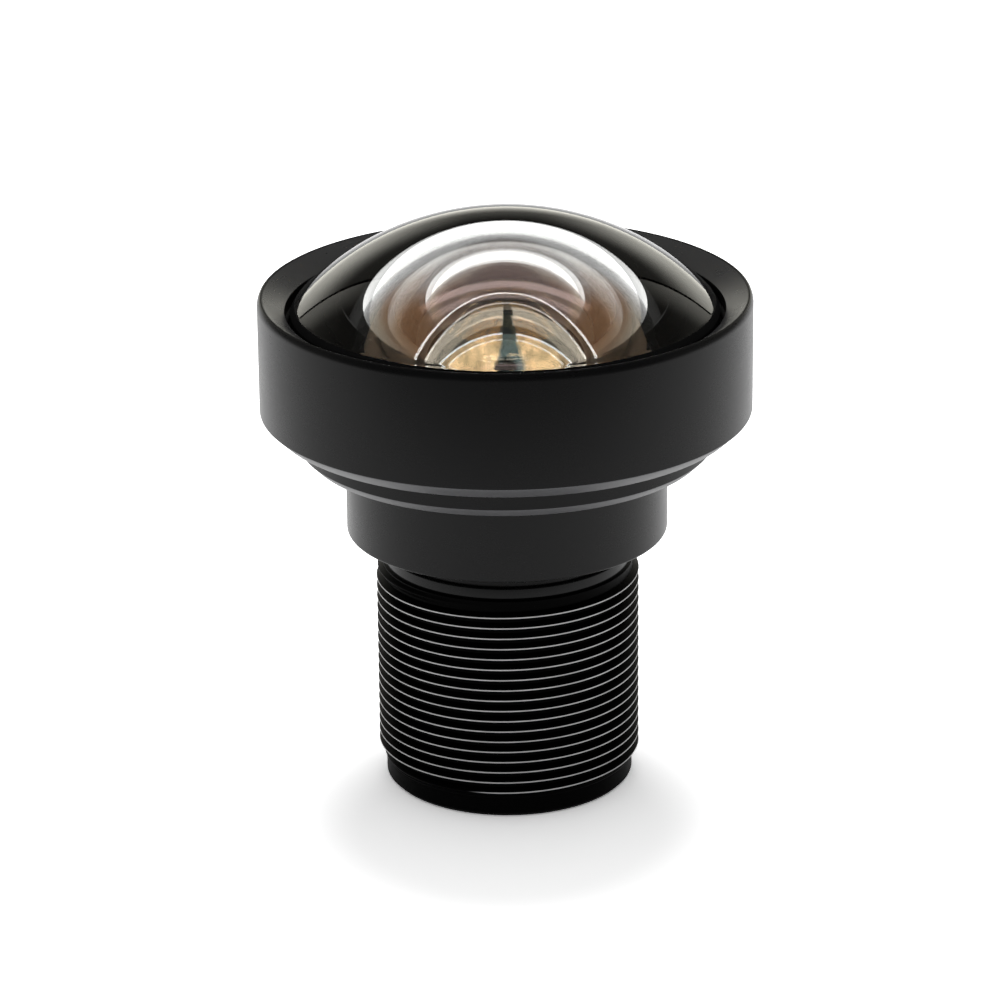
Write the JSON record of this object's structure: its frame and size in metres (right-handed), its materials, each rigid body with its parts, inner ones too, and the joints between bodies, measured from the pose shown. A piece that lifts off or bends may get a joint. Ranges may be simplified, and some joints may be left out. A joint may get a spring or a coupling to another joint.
{
  "type": "s-mount lens",
  "caption": "Wide-angle board lens with a fine-threaded barrel, a wide clamping cap and a large domed front glass.",
  "frame": {"origin": "centre of the rear face, on which the lens stands", "axes": "+Z along the optical axis, from the rear end towards the front glass; the lens is round, so X and Y are alike"},
  "size_m": [0.0222, 0.0222, 0.0266],
  "materials": {
    "anodised_aluminium": "black anodised, satin",
    "blackened_aluminium": "black anodised, matt",
    "blackened_film": "matt black polyester film",
    "soft_ring": "soft black rubber",
    "front_glass": "polished, coated, edge blackened",
    "second_glass": "polished, coated, edge fine ground",
    "crown_glass": "polished, coated",
    "flint_glass": "polished, coated",
    "filter_glass": "polished, faintly cyan"
  },
  "bodies": {
    "root": {"barrel": "anodised_aluminium", "front_cap": "anodised_aluminium", "front_seal": "soft_ring", "front_element": "front_glass", "inner_retainer": "blackened_aluminium", "second_element": "second_glass", "light_shield": "blackened_film", "front_spacer": "blackened_aluminium", "third_element": "flint_glass", "lens_spacer": "blackened_aluminium", "fourth_element": "crown_glass", "stop_spacer": "blackened_aluminium", "aperture_stop": "blackened_film", "middle_spacer": "blackened_aluminium", "fifth_element": "crown_glass", "sixth_element": "flint_glass", "rear_spacer": "blackened_aluminium", "seventh_element": "crown_glass", "ir_cut_filter": "filter_glass", "rear_retainer": "blackened_aluminium"}
  },
  "joints": []
}
